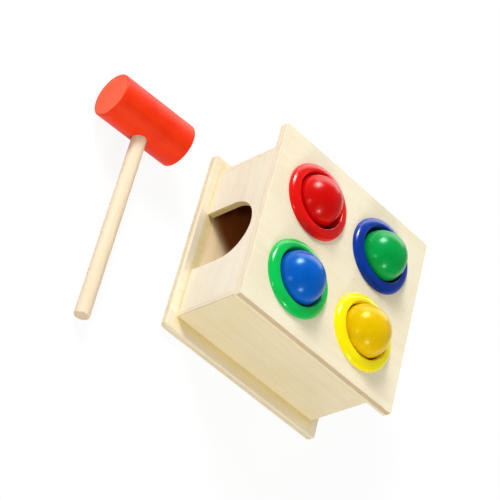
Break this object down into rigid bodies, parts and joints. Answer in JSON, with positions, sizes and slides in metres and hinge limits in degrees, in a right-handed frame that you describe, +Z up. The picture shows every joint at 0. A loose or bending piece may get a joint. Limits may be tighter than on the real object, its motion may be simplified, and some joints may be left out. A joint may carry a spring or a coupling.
{
  "type": "pounding bench",
  "caption": "Plywood box toy with flanged plastic rings that grip painted balls, a sloping floor and an arched exit the balls roll out of, and a loose mallet to knock them through",
  "frame": {"origin": "The middle of the flat underside of the base plate, on the surface that the box stands on", "axes": "+Z is up, -Y is the front with the exit arch, and +X is the right-hand side seen from the front"},
  "size_m": [0.1556, 0.2122, 0.0808],
  "materials": {
    "top_ply": "satin",
    "wall_ply": "satin",
    "base_ply": "satin",
    "ramp_ply": "matte",
    "red_plastic": "gloss",
    "green_plastic": "gloss",
    "blue_plastic": "gloss",
    "yellow_plastic": "gloss",
    "red_paint": "gloss",
    "blue_paint": "gloss",
    "green_paint": "gloss",
    "yellow_paint": "gloss",
    "mallet_paint": "satin",
    "mallet_wood": "matte"
  },
  "bodies": {
    "box": {"base_plate": "base_ply", "top_plate": "top_ply", "front_wall": "wall_ply", "back_wall": "wall_ply", "left_wall": "wall_ply", "right_wall": "wall_ply", "ball_ramp": "ramp_ply", "ramp_rest": "ramp_ply", "red_ring": "red_plastic", "green_ring": "green_plastic", "blue_ring": "blue_plastic", "yellow_ring": "yellow_plastic"},
    "red_ball": {"red_ball": "red_paint"},
    "blue_ball": {"blue_ball": "blue_paint"},
    "green_ball": {"green_ball": "green_paint"},
    "yellow_ball": {"yellow_ball": "yellow_paint"},
    "hammer": {"hammer_head": "mallet_paint", "hammer_handle": "mallet_wood"}
  },
  "joints": [
    {"name": "red_ball_drop", "type": "slide", "parent": "box", "child": "red_ball", "axis": [0, 0, 1], "range_m": [-0.0374, 0.02]},
    {"name": "blue_ball_drop", "type": "slide", "parent": "box", "child": "blue_ball", "axis": [0, 0, 1], "range_m": [-0.0374, 0.02]},
    {"name": "green_ball_drop", "type": "slide", "parent": "box", "child": "green_ball", "axis": [0, 0, 1], "range_m": [-0.0297, 0.02]},
    {"name": "yellow_ball_drop", "type": "slide", "parent": "box", "child": "yellow_ball", "axis": [0, 0, 1], "range_m": [-0.029, 0.02]},
    {"name": "hammer_lift", "type": "slide", "parent": "box", "child": "hammer", "axis": [0, 0, 1], "range_m": [0, 0.1]}
  ]
}
